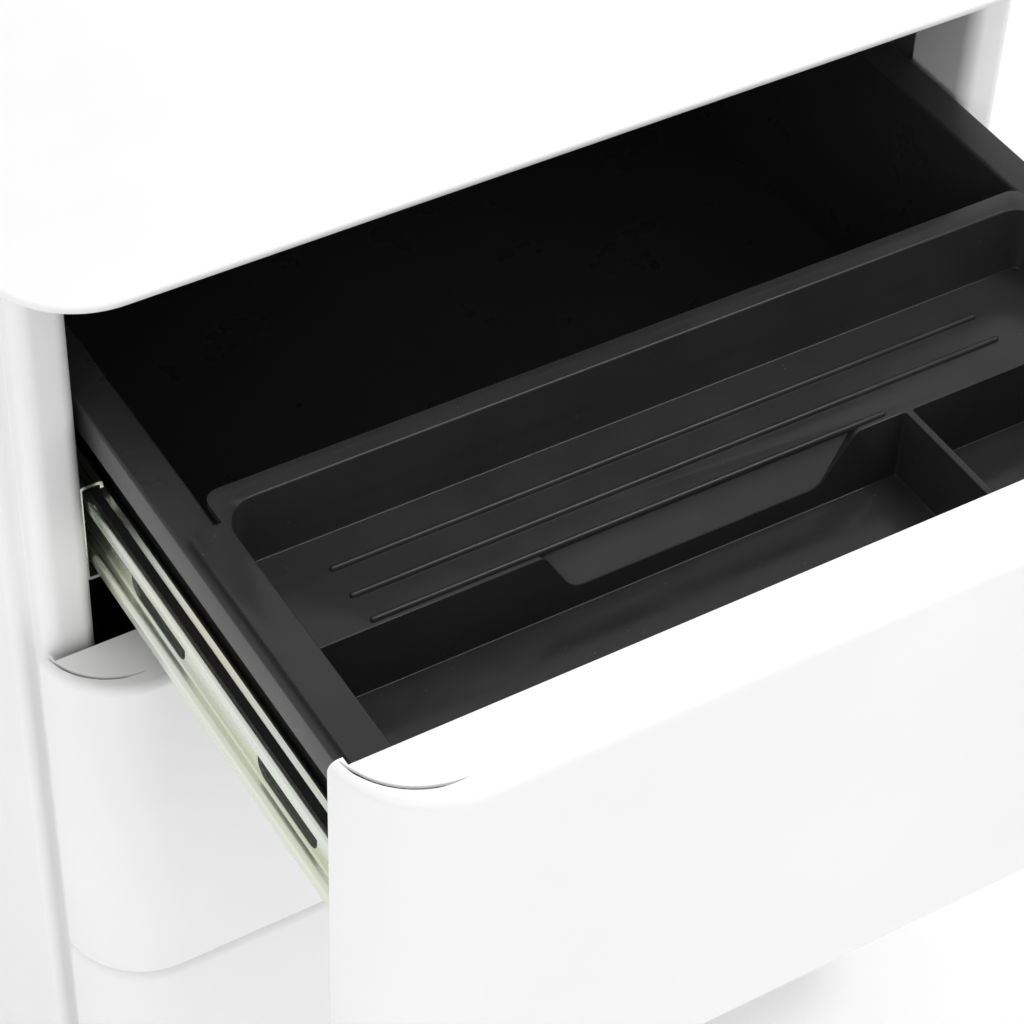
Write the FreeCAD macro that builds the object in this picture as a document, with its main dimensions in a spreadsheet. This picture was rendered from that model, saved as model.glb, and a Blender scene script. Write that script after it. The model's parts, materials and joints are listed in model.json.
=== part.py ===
import FreeCAD, Part
import os
import re

# Steel under-desk drawer unit: three flush fronts, telescopic slides, a pen tray
# and four castors.  Millimetres, +Z up, +Y towards the back, origin on the floor
# under the middle of the unit as it stands with its top drawer pulled out.

SIZES = {
    "width": 390,            # carcass, side to side
    "depth": 500,            # carcass, closed front face to back
    "height": 550,           # floor to lid
    "skin": 1.0,             # sheet steel of the carcass and fronts
    "lid_edge": 3.0,
    "lid_gap": 9.0,          # lid underside to the top drawer front
    "lid_corner": 32,
    "lid_round": 1.2,
    "hem_wide": 12,
    "front_width": 382.6,
    "front_height": 151.8,
    "front_pitch": 152.6,
    "front_corner": 31,
    "front_roll": 3.2,
    "front_depth": 28.4,
    "flange_depth": 25.5,    # top and bottom flanges stop short of the sides
    "seam_inset": 5.8,
    "seam_wide": 0.9,
    "seam_left": 4.6,        # where the seam starts, in from the side
    "open_travel": 201.7,    # how far the top drawer stands open
    "base_level": 58,        # floor to the carcass underside
    "apron_height": 21,
    "post_front": 29.2,      # behind the closed front face
    "post_inner": 169.3,
    "post_back": 60,
    "step_front": 39.5,
    "step_wide": 7.5,
    "step_round": 4.5,
    "bead_round_out": 6,
    "bead_round_in": 5.2,
    "rear_post": 30,
    "rail_drop": 12,
    "panel": 0.8,            # sheet steel of the drawers
    "box_start": 28.5,       # drawer sides start here, behind the front face
    "box_back": 455,
    "side_top": 54.3,        # below the top of the front
    "side_outer": 167.2,
    "side_inner": 153.8,
    "lip_deep": 12.7,
    "box_floor": 147,
    "floor_flange": 14,
    "back_top": 62,
    "inner_top": 50,
    "inner_half": 185,
    "inner_bottom": 148.4,
    "slide_centre": 114.8,
    "slide_start": 40,
    "slide_gauge": 1.2,
    "rail_face": 168.2,      # outer face of the fixed slide rail
    "rail_half": 21,
    "rail_lip": 8.7,
    "rail_rim": 3,
    "rail_length": 450,
    "middle_face": 165.8,
    "middle_half": 15.5,
    "middle_lip": 7.8,
    "middle_roll": 7,
    "middle_joggle": 3.9,
    "middle_length": 440,
    "slot_length": 38,
    "slot_height": 14,
    "slot_pitch": 87,
    "slot_start": 51.5,
    "runner_half": 11,
    "runner_lip": 5.6,
    "runner_length": 410,
    "rail_ball": 3.7,
    "rail_ball_at": 163,
    "runner_ball": 2.7,
    "runner_ball_at": 158.9,
    "ball_pitch": 20,
    "cage_start": 110,       # behind the slide's front end, slide closed
    "cage_thick": 0.7,
    "cage_wide": 2.2,
    "bracket_height": 30,
    "bracket_depth": 18,
    "tray_start": 35.6,
    "tray_top": 52.1,
    "tray_wing": 164.6,
    "tray_rim": 153.2,
    "tray_wing_end": 165.5,
    "tray_back": 179.2,
    "tray_wall": 2.0,
    "tray_inner": 150.4,
    "shelf_front": 127,
    "shelf_back": 169.2,
    "shelf_level": 76.3,
    "well_front": 38.6,
    "well_level": 103,
    "divider_at": 72.4,
    "divider_wide": 2.6,
    "scoop_left": -57,       # finger scoop let into the wall of the pen well
    "scoop_right": 47,
    "scoop_level": 94.5,
    "scoop_deep": 2.4,
    "rib_length": 244,
    "rib_left": -123.5,
    "rib_wide": 2,
    "rib_high": 1.0,
    "rib_near": 141.3,
    "rib_far": 154,
    "lock_across": 145,
    "lock_drop": 25,
    "lock_shell": 8.5,
    "lock_flange": 10,
    "lock_proud": 1.5,
    "lock_length": 24,
    "plug_round": 6,
    "plug_end": 32,
    "cam_thick": 2.5,
    "cam_reach": 31,
    "cam_wide": 8,
    "keyway_wide": 1.4,
    "keyway_high": 7,
    "castor_inset": 45,
    "castor_trail": 14,
    "wheel_round": 20,
    "wheel_wide": 13,
    "wheel_gap": 4.9,
    "hub_wide": 9,
    "axle_round": 3,
    "running_gap": 0.06,
    "plate_side": 44,
    "plate_thick": 2,
    "pivot_round": 5,
    "pivot_length": 12,
    "swivel_round": 15,
    "swivel_thick": 9,
    "screw_head": 4,
    "screw_high": 2.6,
    "screw_at": 17,
}

doc = FreeCAD.newDocument("drawer_unit")
sheet = doc.addObject("Spreadsheet::Sheet", "sizes")
for row, (alias, value) in enumerate(SIZES.items(), start=1):
    sheet.set(f"A{row}", alias.replace("_", " "))
    sheet.set(f"B{row}", str(value))
    sheet.setAlias(f"B{row}", alias)
doc.recompute()

FACE = "(open_travel + lock_proud - depth)/2"   # closed front face, along Y
CLEAR = "2*skin"                       # how far a cutting tool runs past a surface
pieces = []


def scoped(text):
    """Point each sheet word in a formula at the spreadsheet."""
    return re.sub(r"[a-z][a-z_]+", lambda word: "sizes." + word.group(), str(text))


def bind(item, formulas):
    for name, text in formulas.items():
        item.setExpression(name, scoped(text))
    return item


def at(item, x, y, z):
    return bind(item, {"Placement.Base.x": x, "Placement.Base.y": y, "Placement.Base.z": z})


def block(name, x, y, z):
    """Box between pairs of formulas (low, high) along X, Y and Z."""
    item = doc.addObject("Part::Box", name)
    low = [pair[0] for pair in (x, y, z)]
    spans = [f"({pair[1]}) - ({pair[0]})" for pair in (x, y, z)]
    bind(item, dict(zip(("Length", "Width", "Height"), spans)))
    return at(item, *low)


def rod(name, radius, length, x, y, z, along="z"):
    """Cylinder that starts at x, y, z and runs along +X, +Y or +Z."""
    turns = {
        "x": (FreeCAD.Vector(0, 1, 0), 90),
        "y": (FreeCAD.Vector(1, 0, 0), -90),
        "z": (FreeCAD.Vector(0, 0, 1), 0),
    }
    item = doc.addObject("Part::Cylinder", name)
    item.Placement = FreeCAD.Placement(FreeCAD.Vector(), FreeCAD.Rotation(*turns[along]))
    bind(item, {"Radius": radius, "Height": length})
    return at(item, x, y, z)


def ball(name, across, x, y, z):
    item = doc.addObject("Part::Sphere", name)
    bind(item, {"Radius": f"{across}/2"})
    return at(item, x, y, z)


def fuse(name, parts):
    item = doc.addObject("Part::MultiFuse", name)
    item.Shapes = parts
    item.Refine = True
    return item


def group(name, parts):
    """Separate solids kept under one name."""
    item = doc.addObject("Part::Compound", name)
    item.Links = parts
    return item


def cut(name, base, tool):
    item = doc.addObject("Part::Cut", name)
    item.Base = base
    item.Tool = tool
    item.Refine = True
    return item


def mirror(name, source):
    item = doc.addObject("Part::Mirroring", name)
    item.Source = source
    item.Normal = (1, 0, 0)
    return item


def size_of(alias):
    return float(sheet.get(alias))


def rounded(name, base, picks):
    """Fillet edges; picks holds (test of an edge, radius) pairs."""
    doc.recompute()
    edges = []
    for index, edge in enumerate(base.Shape.Edges, start=1):
        for test, radius in picks:
            if test(edge):
                edges.append((index, radius, radius))
                break
    item = doc.addObject("Part::Fillet", name)
    item.Base = base
    item.Edges = edges
    return item


def upright_at(x, y):
    """Test for a vertical edge that stands at x, y."""
    def test(edge):
        ends = edge.Vertexes
        if len(ends) < 2 or abs(ends[0].X - ends[1].X) > 0.01 or abs(ends[0].Y - ends[1].Y) > 0.01:
            return False
        return abs(ends[0].X - x) < 0.05 and abs(ends[0].Y - y) < 0.05
    return test


def level_edge(z, rear):
    """Test for an edge that lies at height z and isn't on the plane y = rear."""
    def test(edge):
        box = edge.BoundBox
        level = abs(box.ZMin - z) < 0.01 and abs(box.ZMax - z) < 0.01
        return level and not (abs(box.YMin - rear) < 0.01 and abs(box.YMax - rear) < 0.01)
    return test


def number(text):
    """A formula of sheet words as a plain number, for picking edges."""
    probe = doc.addObject("App::FeaturePython", "probe")
    probe.addProperty("App::PropertyFloat", "Result")
    probe.setExpression("Result", scoped(text))
    probe.recompute()
    result = probe.Result
    doc.removeObject(probe.Name)
    return result


def keep(item):
    pieces.append(item)
    return item


def face_of(drawer):
    """Front face of a drawer as the unit stands: the top drawer is open."""
    return FACE + " - open_travel" if drawer == 1 else FACE


def top_of(drawer):
    return f"(height - lid_edge - lid_gap - {drawer - 1}*front_pitch)"


def behind(drawer, distance):
    return f"{face_of(drawer)} + {distance}"


def under(drawer, distance):
    return f"{top_of(drawer)} - ({distance})"


# ---- carcass -------------------------------------------------------------

def post(name, inset):
    """Rounded front post; an inset above 0 gives the space inside its sheet."""
    low = "base_level" if not inset else f"base_level - {CLEAR}"
    high = "height - lid_edge" if not inset else f"height - lid_edge + {CLEAR}"
    back = f"{FACE} + post_back + {inset}"
    outer = block(name + "_outer", (f"-width/2 + {inset}", f"-width/2 + step_wide + 2*{inset}"),
                  (f"{FACE} + step_front + {inset}", back), (low, high))
    bead = block(name + "_bead", (f"-width/2 + step_wide + {inset}", f"-post_inner - {inset}"),
                 (f"{FACE} + post_front + {inset}", back), (low, high))
    whole = fuse(name + "_whole", [outer, bead])
    left = number(f"-width/2 + {inset}")
    bead_left = number(f"-width/2 + step_wide + {inset}")
    bead_right = number(f"-post_inner - {inset}")
    crest = number(f"{FACE} + post_front + {inset}")
    step = number(f"{FACE} + step_front + {inset}")
    offset = number(str(inset))
    return rounded(name, whole, [
        (upright_at(left, step), size_of("step_round") - offset),
        (upright_at(bead_left, crest), size_of("bead_round_out") - offset),
        (upright_at(bead_right, crest), size_of("bead_round_in") - offset),
    ])


def side_panel():
    """Left side: outer skin, front post and rear post folded from one sheet."""
    height = ("base_level", "height - lid_edge")
    back = f"{FACE} + depth"
    hollow = cut("side_post", post("side_post_skin", 0), post("side_post_space", "skin"))
    outer = block("side_skin", ("-width/2", "-width/2 + skin"),
                  (f"{FACE} + post_back", f"{back} - skin"), height)
    web = block("side_rear_web", ("-width/2 + skin", "-post_inner"),
                (f"{back} - skin - rear_post", f"{back} - rear_post"), height)
    inner = block("side_rear_inner", ("-post_inner - skin", "-post_inner"),
                  (f"{back} - rear_post", f"{back} - skin"), height)
    return fuse("side_panel_left", [hollow, outer, web, inner])


def lid():
    """Thin lid with rounded front corners and a hem under its edge."""
    span = ("-width/2", "width/2")
    slab = block("lid_slab", span, (FACE, f"{FACE} + depth"), ("height - lid_edge", "height"))
    half = number("width/2")
    front = number(FACE)
    corner = size_of("lid_corner")
    corners = [(upright_at(-half, front), corner), (upright_at(half, front), corner)]
    plate = rounded("lid_plate", slab, corners)
    back = number(f"{FACE} + depth")
    edges = [(level_edge(number("height"), back), size_of("lid_round")),
             (level_edge(number("height - lid_edge"), back), size_of("lid_round"))]
    soft = rounded("lid_soft", plate, edges)
    space = block("lid_space", ("-width/2 + hem_wide", "width/2 - hem_wide"),
                  (f"{FACE} + post_back", f"{FACE} + depth - hem_wide"),
                  (f"height - lid_edge - {CLEAR}", "height - skin"))
    return cut("top_panel", soft, space)


def back_panel():
    back = f"{FACE} + depth"
    return block("back_panel", ("-width/2", "width/2"), (f"{back} - skin", back),
                 ("base_level", "height - lid_edge"))


def base_panel():
    """Floor of the carcass with a front apron under the bottom drawer."""
    inside = ("-width/2 + skin", "width/2 - skin")
    front = f"{FACE} + post_back"
    back = f"{FACE} + depth - skin - rear_post"
    plate = block("base_plate", inside, (front, back), ("base_level", "base_level + skin"))
    nose = block("base_nose", ("-post_inner", "post_inner"), (f"{FACE} + post_front + skin", front),
                 ("base_level", "base_level + skin"))
    apron = block("base_apron", ("-post_inner", "post_inner"),
                  (f"{FACE} + post_front", f"{FACE} + post_front + skin"),
                  ("base_level", "base_level + apron_height"))
    return fuse("base_panel", [plate, nose, apron])


def top_rail():
    """Channel under the lid that ties the posts and keeps the lock's cam."""
    span = ("-post_inner", "post_inner")
    front = f"{FACE} + post_front"
    back = f"{FACE} + post_back"
    low = "height - lid_edge - rail_drop"
    high = "height - lid_edge"
    lip = block("rail_lip_front", span, (front, f"{front} + skin"), (low, high))
    web = block("rail_web", span, (f"{front} + skin", back), (f"{high} - skin", high))
    rear = block("rail_lip_rear", span, (f"{back} - skin", back), (low, f"{high} - skin"))
    return fuse("top_rail", [lip, web, rear])


def slide_brackets():
    """Packing plates between the left posts and the fixed rails, front and rear."""
    plates = []
    across = ("-post_inner", "-rail_face")
    spots = {"front": f"{FACE} + slide_start + 2", "rear": f"{FACE} + depth - skin - rear_post + 2"}
    for drawer in (1, 2, 3):
        middle = f"{top_of(drawer)} - slide_centre"
        for spot, start in spots.items():
            plates.append(block(f"bracket_{drawer}_{spot}", across, (start, f"{start} + bracket_depth"),
                                (f"{middle} - bracket_height/2", f"{middle} + bracket_height/2")))
    return group("slide_brackets_left", plates)


# ---- slides --------------------------------------------------------------

def bars(name, drawer, start, length, spans):
    """Fuse bars of one length; spans holds (x low, x high, z low, z high) about the slide's centre."""
    middle = f"{top_of(drawer)} - slide_centre"
    parts = []
    for index, (x_low, x_high, z_low, z_high) in enumerate(spans):
        parts.append(block(f"{name}_bar_{index}", (x_low, x_high), (start, f"{start} + {length}"),
                           (f"{middle} + {z_low}", f"{middle} + {z_high}")))
    return parts


def both_ways(x_low, x_high, z_low, z_high):
    """The same bar above and below the slide's centre."""
    return [(x_low, x_high, z_low, z_high), (x_low, x_high, f"(-({z_high}))", f"(-({z_low}))")]


def fixed_rail(drawer):
    name = f"drawer_{drawer}_slide_outer_left"
    spans = [("-rail_face", "-rail_face + slide_gauge", "(-rail_half)", "rail_half")]
    spans += both_ways("-rail_face + slide_gauge", "-rail_face + rail_lip",
                       "(rail_half - slide_gauge)", "rail_half")
    spans += both_ways("-rail_face + rail_lip - slide_gauge", "-rail_face + rail_lip",
                       "(rail_half - rail_rim)", "(rail_half - slide_gauge)")
    return fuse(name, bars(name, drawer, f"{FACE} + slide_start - 2", "rail_length", spans))


def middle_rail(drawer):
    """Sliding rail: rolled edges stand proud of a slotted web."""
    name = f"drawer_{drawer}_slide_middle_left"
    inner = "-middle_face + middle_joggle"
    start = behind(drawer, "slide_start")
    spans = [(inner, f"{inner} + 1", "(-middle_half + middle_roll)", "(middle_half - middle_roll)")]
    spans += both_ways("-middle_face", "-middle_face + middle_lip",
                       "(middle_half - slide_gauge)", "middle_half")
    spans += both_ways("-middle_face", "-middle_face + slide_gauge", "(middle_half - middle_roll)",
                       "(middle_half - slide_gauge)")
    spans += both_ways("-middle_face", f"{inner} + 1", "(middle_half - middle_roll)",
                       "(middle_half - middle_roll + slide_gauge)")
    whole = fuse(name + "_whole", bars(name, drawer, start, "middle_length", spans))
    middle = f"{top_of(drawer)} - slide_centre"
    slots = []
    for index in range(4):
        near = f"{start} + slot_start + {index}*slot_pitch"
        slots.append(block(f"{name}_slot_{index}", (f"{inner} - 1", f"{inner} + 2"),
                           (near, f"{near} + slot_length"),
                           (f"{middle} - slot_height/2", f"{middle} + slot_height/2")))
    return cut(name, whole, fuse(name + "_slots", slots))


def runner(drawer):
    """Inner rail, fixed to the drawer side."""
    name = f"drawer_{drawer}_slide_inner_left"
    wall = "-side_inner - panel"
    spans = [(f"{wall} - slide_gauge", wall, "(-runner_half)", "runner_half")]
    spans += both_ways(f"{wall} - runner_lip", f"{wall} - slide_gauge",
                       "(runner_half - slide_gauge)", "runner_half")
    return fuse(name, bars(name, drawer, behind(drawer, "slide_start"), "runner_length", spans))


def ball_rows(name, drawer, start, across, x, level):
    """Upper and lower rows of caged balls, left and right, each row one solid."""
    middle = f"{top_of(drawer)} - slide_centre"
    rows = []
    for side, place in (("left", f"-{x}"), ("right", x)):
        for end, height in (("upper", f"{middle} + {level}"), ("lower", f"{middle} - ({level})")):
            tag = f"{name}_{side}_{end}"
            parts = [block(tag + "_strip", (f"{place} - cage_wide/2", f"{place} + cage_wide/2"),
                           (f"{start} - ball_pitch/2", f"{start} + 7.5*ball_pitch"),
                           (f"{height} - cage_thick/2", f"{height} + cage_thick/2"))]
            for index in range(8):
                along = f"{start} + {index}*ball_pitch"
                parts.append(ball(f"{tag}_ball_{index}", across, place, along, height))
            rows.append(fuse(tag, parts))
    return group(name, rows)


def cage_shift(drawer):
    """A cage travels half as far as the rail that rolls on it."""
    return " - open_travel/2" if drawer == 1 else ""


def ball_cages(drawer):
    outer_start = f"{FACE} + slide_start + cage_start{cage_shift(drawer)}"
    inner_start = behind(drawer, "slide_start + cage_start")
    outer_level = "(rail_half - slide_gauge + middle_half)/2"
    inner_level = "(middle_half - slide_gauge + runner_half)/2"
    outer = ball_rows(f"drawer_{drawer}_balls_outer", drawer, outer_start,
                      "rail_ball", "rail_ball_at", outer_level)
    inner = ball_rows(f"drawer_{drawer}_balls_inner", drawer, inner_start,
                      "runner_ball", "runner_ball_at", inner_level)
    return outer, inner


# ---- drawers -------------------------------------------------------------

def front_block(name, drawer, inset):
    """Front with rounded corners; an inset above 0 gives the space inside its sheet."""
    depth = "front_corner + 4" if not inset else f"front_corner + 4 + {CLEAR}"
    slab = block(name + "_slab", (f"-front_width/2 + {inset}", f"front_width/2 - {inset}"),
                 (behind(drawer, inset), behind(drawer, depth)),
                 (under(drawer, f"front_height - {inset}"), under(drawer, inset)))
    half = number(f"front_width/2 - {inset}")
    face = number(behind(drawer, inset))
    corner = size_of("front_corner") - number(str(inset))
    corners = [(upright_at(-half, face), corner), (upright_at(half, face), corner)]
    tall = rounded(name + "_tall", slab, corners)
    rear = number(behind(drawer, depth))
    roll = size_of("front_roll") - number(str(inset))
    top = number(under(drawer, inset))
    bottom = number(under(drawer, f"front_height - {inset}"))
    return rounded(name, tall, [(level_edge(top, rear), roll), (level_edge(bottom, rear), roll)])


def seam(drawer, side):
    """Curved slit where the top flange meets the wrapped side."""
    name = f"seam_{drawer}_{'left' if side < 0 else 'right'}"
    reach = "(front_corner - seam_inset)"
    x = f"{side}*(front_width/2 - front_corner)"
    y = behind(drawer, "front_corner")
    low = under(drawer, CLEAR)
    deep = f"2*({CLEAR})"
    ring = cut(name + "_ring", rod(name + "_far", reach, deep, x, y, low),
               rod(name + "_near", f"{reach} - seam_wide", deep, x, y, low))
    across = (f"({x}) - front_corner", x) if side < 0 else (x, f"({x}) + front_corner")
    quarter = block(name + "_quarter", across,
                    (behind(drawer, 0), behind(drawer, "flange_depth + 1")), (low, f"{low} + {deep}"))
    arc = doc.addObject("Part::MultiCommon", name)
    arc.Shapes = [ring, quarter]
    return arc


def drawer_front(drawer):
    """Hollow front: face, wrapped sides, top and bottom flanges, open at the rear."""
    name = f"drawer_{drawer}_front"
    notch_half = "front_width/2 - seam_left"
    tall = (under(drawer, f"front_height + {CLEAR}"), under(drawer, f"(-{CLEAR})"))
    rear_end = behind(drawer, f"front_corner + 4 + 2*{CLEAR}")
    notch = block(name + "_notch", (f"-({notch_half})", notch_half),
                  (behind(drawer, "flange_depth"), rear_end), tall)
    rear = block(name + "_rear", ("-front_width", "front_width"),
                 (behind(drawer, "front_depth"), rear_end), tall)
    space = front_block(name + "_space", drawer, "skin")
    tools = [space, notch, rear, seam(drawer, -1), seam(drawer, 1)]
    if drawer == 1:
        tools.append(rod(name + "_lock_hole", "lock_shell", "4*skin", "lock_across", behind(1, "-2*skin"),
                         under(1, "lock_drop"), "y"))
    return cut(name, front_block(name + "_block", drawer, 0), fuse(name + "_tools", tools))


def drawer_inner(drawer):
    """Black front plate of the drawer box."""
    return block(f"drawer_{drawer}_front_inner", ("-inner_half", "inner_half"),
                 (behind(drawer, "flange_depth"), behind(drawer, "box_start")),
                 (under(drawer, "inner_bottom"), under(drawer, "inner_top")))


def drawer_side(drawer):
    """Left side: a hollow ledge over the slide, the wall and a floor flange."""
    name = f"drawer_{drawer}_side_left"
    run = (behind(drawer, "box_start"), behind(drawer, "box_back"))
    wall = "-side_inner"
    ledge = block(name + "_ledge", ("-side_outer", wall), run,
                  (under(drawer, "side_top + panel"), under(drawer, "side_top")))
    lip = block(name + "_lip", ("-side_outer", "-side_outer + panel"), run,
                (under(drawer, "side_top + lip_deep"), under(drawer, "side_top + panel")))
    sheet_wall = block(name + "_wall", (f"{wall} - panel", wall), run,
                       (under(drawer, "box_floor"), under(drawer, "side_top + panel")))
    flange = block(name + "_flange", (wall, f"{wall} + floor_flange"), run,
                   (under(drawer, "box_floor"), under(drawer, "box_floor - panel")))
    return fuse(name, [ledge, lip, sheet_wall, flange])


def drawer_tub(drawer):
    """Floor and back, folded from one sheet, between the sides."""
    name = f"drawer_{drawer}_tub"
    inside = ("-side_inner", "side_inner")
    floor = block(name + "_floor", inside, (behind(drawer, "box_start"), behind(drawer, "box_back")),
                  (under(drawer, "box_floor - panel"), under(drawer, "box_floor - 2*panel")))
    back = block(name + "_back", inside, (behind(drawer, "box_back - panel"), behind(drawer, "box_back")),
                 (under(drawer, "box_floor - 2*panel"), under(drawer, "back_top")))
    return fuse(name, [floor, back])


def pen_tray():
    """Moulded tray: a ribbed shelf at the back and two wells at the front."""
    def part(name, x, y, z):
        return block("tray_" + name, x, (behind(1, y[0]), behind(1, y[1])), (under(1, z[0]), under(1, z[1])))
    outer = "(tray_inner + tray_wall)"
    inner = "tray_inner"
    top = "tray_top"
    rim = ("side_top", top)
    solids = [
        part("wings", ("-tray_wing", "tray_wing"), ("tray_start", "tray_wing_end"), rim),
        part("rim", ("-tray_rim", "tray_rim"), ("tray_start", "tray_back"), rim),
        part("shelf_outer", (f"-{outer}", outer), ("tray_start", "shelf_back + tray_wall"),
             ("shelf_level + tray_wall", top)),
        part("well_outer", (f"-{outer}", outer), ("tray_start", "shelf_front + tray_wall"),
             ("well_level + tray_wall", top)),
        part("scoop_outer", ("scoop_left - 5", "scoop_right + 5"),
             ("shelf_front", "shelf_front + scoop_deep + tray_wall"),
             ("scoop_level + tray_wall", "shelf_level")),
    ]
    spaces = [
        part("shelf_space", (f"-{inner}", inner), ("shelf_front", "shelf_back"),
             ("shelf_level", "tray_top - 5")),
        part("well_space", (f"-{inner}", inner), ("well_front", "shelf_front"),
             ("well_level", "tray_top - 5")),
        part("scoop_space", ("scoop_left", "scoop_right"),
             ("shelf_front - 1", "shelf_front + scoop_deep"), ("scoop_level", "shelf_level - 1")),
    ]
    hollow = cut("tray_hollow", fuse("tray_solid", solids), fuse("tray_spaces", spaces))
    extras = [part("divider", ("divider_at", "divider_at + divider_wide"), ("well_front", "shelf_front"),
                   ("well_level", "shelf_level"))]
    for label, along in (("near", "rib_near"), ("far", "rib_far")):
        extras.append(part("rib_" + label, ("rib_left", "rib_left + rib_length"),
                           (f"{along} - rib_wide/2", f"{along} + rib_wide/2"),
                           ("shelf_level", "shelf_level - rib_high")))
    return fuse("pen_tray", [hollow] + extras)


# ---- lock ----------------------------------------------------------------

def lock_barrel():
    x = "lock_across"
    z = under(1, "lock_drop")
    flange = rod("lock_barrel_flange", "lock_flange", "lock_proud", x, behind(1, "(-lock_proud)"), z, "y")
    shell = rod("lock_barrel_shell", "lock_shell", "lock_length", x, behind(1, 0), z, "y")
    bore = rod("lock_barrel_bore", "plug_round + running_gap", "lock_length + 4*lock_proud", x,
               behind(1, "(-2*lock_proud)"), z, "y")
    return cut("lock_barrel", fuse("lock_barrel_whole", [flange, shell]), bore)


def lock_plug():
    """Turning plug with the keyway in its nose and the cam on its tail."""
    x = "lock_across"
    z = under(1, "lock_drop")
    body = rod("lock_plug_body", "plug_round", "plug_end + lock_proud", x, behind(1, "(-lock_proud)"), z, "y")
    cam = block("lock_plug_cam", (f"{x} - cam_reach", f"{x} + cam_wide/2"),
                (behind(1, "plug_end"), behind(1, "plug_end + cam_thick")),
                (f"{z} - cam_wide/2", f"{z} + cam_wide/2"))
    keyway = block("lock_plug_keyway", (f"{x} - keyway_wide/2", f"{x} + keyway_wide/2"),
                   (behind(1, "(-2*lock_proud)"), behind(1, "lock_length/2")),
                   (f"{z} - keyway_high/2", f"{z} + keyway_high/2"))
    return cut("lock_plug", fuse("lock_plug_whole", [body, cam]), keyway)


# ---- castors -------------------------------------------------------------

def castor_places():
    """Pivot centres: (tag, x, y) for the four corners."""
    places = []
    for side, x in (("left", "-width/2 + castor_inset"), ("right", "width/2 - castor_inset")):
        places.append((f"front_{side}", x, f"{FACE} + post_back + castor_inset/2"))
        places.append((f"rear_{side}", x, f"{FACE} + depth - rear_post - castor_inset"))
    return places


def castor_plates():
    plates = []
    for tag, x, y in castor_places():
        plate = block(f"plate_{tag}", (f"{x} - plate_side/2", f"{x} + plate_side/2"),
                      (f"{y} - plate_side/2", f"{y} + plate_side/2"),
                      ("base_level - plate_thick", "base_level"))
        pivot = rod(f"pivot_{tag}", "pivot_round", "pivot_length", x, y,
                    "base_level - plate_thick - pivot_length")
        plates.append(fuse(f"plate_pivot_{tag}", [plate, pivot]))
    return group("castor_plates", plates)


def castor_screws():
    heads = []
    for tag, x, y in castor_places():
        for index, (right, back) in enumerate(((-1, -1), (1, -1), (-1, 1), (1, 1))):
            heads.append(rod(f"screw_{tag}_{index}", "screw_head", "screw_high", f"{x} + {right}*screw_at",
                             f"{y} + {back}*screw_at", "base_level - plate_thick - screw_high"))
    return group("castor_screws", heads)


def castor_fork(tag, x, y):
    """Swivelling hub that hangs from the pivot and carries the axle behind it."""
    name = f"castor_fork_{tag}"
    top = "base_level - plate_thick - screw_high - 0.6"
    head = rod(name + "_head", "swivel_round", "swivel_thick", x, y, f"{top} - swivel_thick")
    hub = block(name + "_hub", (f"{x} - hub_wide/2", f"{x} + hub_wide/2"),
                (f"{y} - swivel_round/2", f"{y} + castor_trail + swivel_round/2"),
                ("wheel_round - 2*axle_round", f"{top} - swivel_thick/2"))
    socket = rod(name + "_socket", "pivot_round + running_gap", "pivot_length + 2", x, y,
                 "base_level - plate_thick - pivot_length - 1")
    bore = rod(name + "_bore", "axle_round + running_gap", "2*hub_wide", f"{x} - hub_wide",
               f"{y} + castor_trail", "wheel_round", "x")
    return cut(name, fuse(name + "_whole", [head, hub]), fuse(name + "_holes", [socket, bore]))


def castor_wheel(tag, x, y):
    """Twin wheels on their axle."""
    name = f"castor_wheel_{tag}"
    axle_y = f"{y} + castor_trail"
    far = "wheel_gap + wheel_wide"
    wheels = []
    for side, start in (("a", f"{x} - ({far})"), ("b", f"{x} + wheel_gap")):
        disc = rod(f"{name}_{side}", "wheel_round", "wheel_wide", start, axle_y, "wheel_round", "x")
        wheels.append(disc)
    axle = rod(f"{name}_axle", "axle_round", "2*wheel_gap", f"{x} - wheel_gap", axle_y, "wheel_round", "x")
    return fuse(name, wheels + [axle])


# ---- assembly ------------------------------------------------------------

def pair(left_piece):
    """Keep a left-hand piece and its mirrored right-hand twin."""
    keep(left_piece)
    keep(mirror(left_piece.Name.replace("_left", "_right"), left_piece))


pair(side_panel())
keep(lid())
keep(back_panel())
keep(base_panel())
keep(top_rail())
pair(slide_brackets())
for drawer_number in (1, 2, 3):
    keep(drawer_front(drawer_number))
    keep(drawer_inner(drawer_number))
    pair(drawer_side(drawer_number))
    keep(drawer_tub(drawer_number))
    pair(fixed_rail(drawer_number))
    pair(middle_rail(drawer_number))
    pair(runner(drawer_number))
    for cage in ball_cages(drawer_number):
        keep(cage)
keep(pen_tray())
keep(lock_barrel())
keep(lock_plug())
keep(castor_plates())
keep(castor_screws())
for corner_tag, corner_x, corner_y in castor_places():
    keep(castor_fork(corner_tag, corner_x, corner_y))
    keep(castor_wheel(corner_tag, corner_x, corner_y))

doc.recompute()
for item in doc.Objects:
    if "Invalid" in item.State or "Error" in item.State:
        raise RuntimeError(f"{item.Label} failed to build: {item.State}")
labels = [item.Label for item in pieces]
if len(set(labels)) != len(labels):
    raise RuntimeError("two pieces share a name")
for item in pieces:
    if item.Shape.isNull() or not item.Shape.isValid():
        raise RuntimeError(f"{item.Label} has no valid shape")

os.makedirs("parts", exist_ok=True)
for item in pieces:
    item.Shape.exportStep(f"parts/{item.Label}.step")
print(f"{len(pieces)} pieces written")
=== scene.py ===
import json
import math
import bmesh
import bpy
from mathutils import Matrix, Vector


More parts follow.
